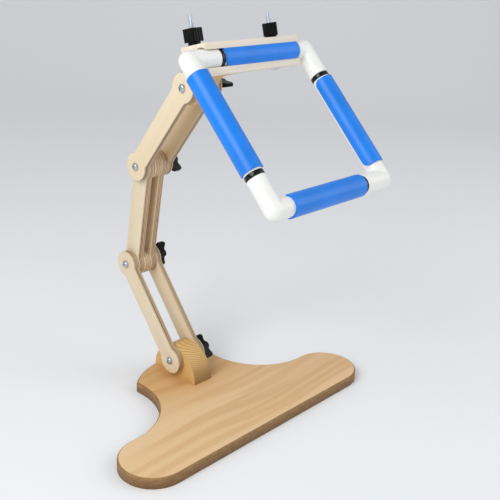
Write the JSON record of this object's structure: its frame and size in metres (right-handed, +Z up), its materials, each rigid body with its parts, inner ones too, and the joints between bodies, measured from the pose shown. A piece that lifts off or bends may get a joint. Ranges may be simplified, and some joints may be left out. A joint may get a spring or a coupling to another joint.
{
  "type": "embroidery seat stand",
  "caption": "Free-standing wooden embroidery stand: a shaped seat board, a hinged arm with wing knobs and a screw clamp whose jaws hold a square snap frame for hands-free stitching.",
  "frame": {"origin": "on the table plane, on the underside of the board straight below the middle of the base pivot", "axes": "+X along the pivot bolts to the side with the wing knobs, +Y to the back, -Y to the board's straight front edge, +Z up"},
  "size_m": [0.397, 0.3536, 0.4951],
  "materials": {
    "board_wood": "oiled honey-coloured plank, satin",
    "block_wood": "golden, end grain on the round face, satin",
    "plywood": "pale birch plywood with darker ply lines on the edges, satin",
    "solid_wood": "pale solid wood, satin",
    "zinc_steel": "zinc-plated",
    "screw_steel": "plain steel",
    "washer_fibre": "dark, matt",
    "black_plastic": "moulded, fine texture",
    "white_pipe": "off-white, smooth",
    "black_ring": "glossy",
    "blue_plastic": "bright blue, soft gloss"
  },
  "bodies": {
    "base": {"base_board": "board_wood", "pivot_block": "block_wood", "block_screws": "screw_steel", "pivot_bolt_1": "zinc_steel", "pivot_washers_1": "washer_fibre"},
    "wing_knob_base": {"wing_knob_1": "black_plastic"},
    "lower_arm": {"lower_arm_left": "plywood", "lower_arm_right": "plywood"},
    "middle_arm": {"middle_arm_left": "plywood", "middle_arm_right": "plywood", "middle_spacer_bottom": "solid_wood", "middle_spacer_top": "solid_wood", "pivot_bolt_2": "zinc_steel", "pivot_washers_2": "washer_fibre", "pivot_bolt_3": "zinc_steel", "pivot_washers_3": "washer_fibre"},
    "wing_knob_lower": {"wing_knob_2": "black_plastic"},
    "wing_knob_upper": {"wing_knob_3": "black_plastic"},
    "upper_arm": {"upper_arm_left": "plywood", "upper_arm_right": "plywood"},
    "head": {"head_tongue": "solid_wood", "lower_jaw": "plywood", "jaw_screws": "screw_steel", "clamp_rods": "zinc_steel", "pivot_bolt_4": "zinc_steel", "pivot_washers_4": "washer_fibre"},
    "wing_knob_head": {"wing_knob_4": "black_plastic"},
    "upper_jaw": {"upper_jaw": "plywood"},
    "knob_left": {"clamp_knob_left": "black_plastic"},
    "knob_right": {"clamp_knob_right": "black_plastic"},
    "snap_frame": {"elbow_top_left": "white_pipe", "elbow_top_right": "white_pipe", "elbow_bottom_right": "white_pipe", "elbow_bottom_left": "white_pipe", "tube_top": "white_pipe", "tube_right": "white_pipe", "tube_bottom": "white_pipe", "tube_left": "white_pipe", "socket_rings": "black_ring", "clip_top": "blue_plastic"},
    "clip_right": {"clip_right": "blue_plastic"},
    "clip_bottom": {"clip_bottom": "blue_plastic"},
    "clip_left": {"clip_left": "blue_plastic"}
  },
  "joints": [
    {"name": "base_pivot", "type": "hinge", "parent": "base", "child": "lower_arm", "pos_m": [0, 0, 0.039], "axis": [1, 0, 0], "range_deg": [-20, 20]},
    {"name": "lower_pivot", "type": "hinge", "parent": "lower_arm", "child": "middle_arm", "pos_m": [0, 0.09062, 0.15091], "axis": [1, 0, 0], "range_deg": [-25, 15]},
    {"name": "upper_pivot", "type": "hinge", "parent": "middle_arm", "child": "upper_arm", "pos_m": [0, 0.06685, 0.29293], "axis": [1, 0, 0], "range_deg": [-30, 15]},
    {"name": "head_pivot", "type": "hinge", "parent": "upper_arm", "child": "head", "pos_m": [0, -0.0218, 0.40641], "axis": [1, 0, 0], "range_deg": [-35, 20]},
    {"name": "jaw_lift", "type": "slide", "parent": "head", "child": "upper_jaw", "axis": [0, 0.2504, 0.9681], "range_m": [0, 0.01]},
    {"name": "left_clamp_turn", "type": "hinge", "parent": "upper_jaw", "child": "knob_left", "pos_m": [-0.0605, -0.07914, 0.47464], "axis": [0, 0.2504, 0.9681], "continuous": true},
    {"name": "right_clamp_turn", "type": "hinge", "parent": "upper_jaw", "child": "knob_right", "pos_m": [0.0605, -0.07914, 0.47464], "axis": [0, 0.2504, 0.9681], "continuous": true},
    {"name": "frame_tilt", "type": "hinge", "parent": "head", "child": "snap_frame", "pos_m": [0, -0.1059, 0.45264], "axis": [1, 0, 0], "range_deg": [-50, 45]},
    {"name": "right_clip_roll", "type": "hinge", "parent": "snap_frame", "child": "clip_right", "pos_m": [0.0905, -0.16911, 0.38787], "axis": [0, -0.6984, -0.7157], "range_deg": [-20, 20]},
    {"name": "bottom_clip_roll", "type": "hinge", "parent": "snap_frame", "child": "clip_bottom", "pos_m": [0, -0.23232, 0.3231], "axis": [1, 0, 0], "range_deg": [-20, 20]},
    {"name": "left_clip_roll", "type": "hinge", "parent": "snap_frame", "child": "clip_left", "pos_m": [-0.0905, -0.16911, 0.38787], "axis": [0, -0.6984, -0.7157], "range_deg": [-20, 20]},
    {"name": "base_wing_turn", "type": "hinge", "parent": "base", "child": "wing_knob_base", "pos_m": [0.03, 0, 0.039], "axis": [1, 0, 0], "continuous": true},
    {"name": "lower_wing_turn", "type": "hinge", "parent": "middle_arm", "child": "wing_knob_lower", "pos_m": [0.03, 0.09062, 0.15091], "axis": [1, 0, 0], "continuous": true},
    {"name": "upper_wing_turn", "type": "hinge", "parent": "middle_arm", "child": "wing_knob_upper", "pos_m": [0.03, 0.06685, 0.29293], "axis": [1, 0, 0], "continuous": true},
    {"name": "head_wing_turn", "type": "hinge", "parent": "head", "child": "wing_knob_head", "pos_m": [0.03, -0.0218, 0.40641], "axis": [1, 0, 0], "continuous": true}
  ]
}
